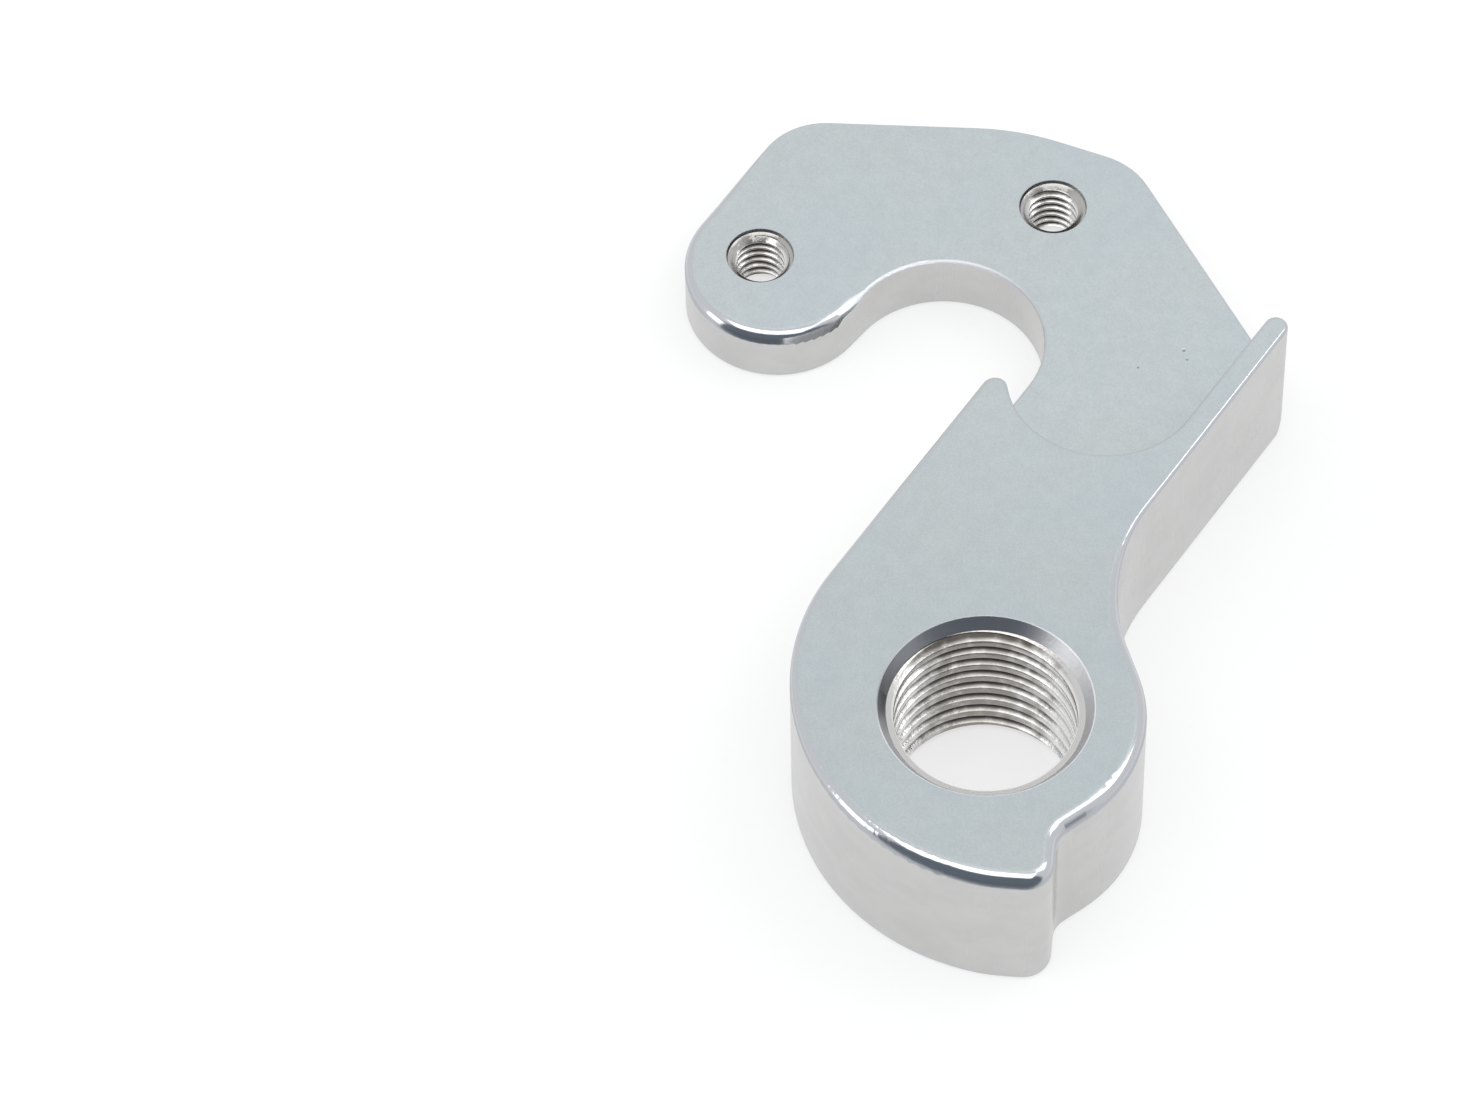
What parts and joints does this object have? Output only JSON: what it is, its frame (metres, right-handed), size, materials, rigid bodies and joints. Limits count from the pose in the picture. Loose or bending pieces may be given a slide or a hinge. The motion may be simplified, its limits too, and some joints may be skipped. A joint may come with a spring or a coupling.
{
  "type": "derailleur hanger",
  "caption": "Machined hanger plate with a threaded boss, a stepped dropout pocket edged by a thin fin, a half-round axle seat open to the front, and threaded screw holes.",
  "frame": {"origin": "on the axis of the derailleur thread, in the plane of the outboard face", "axes": "+Z towards the wheel, out of the pocket side; +Y from the derailleur thread to the wheel axle; +X to the rear of the bicycle"},
  "size_m": [0.0298, 0.051, 0.0087],
  "materials": {
    "anodised": "fine bead-blasted silver anodise, polished rims"
  },
  "bodies": {
    "root": {"hanger": "anodised"}
  },
  "joints": []
}
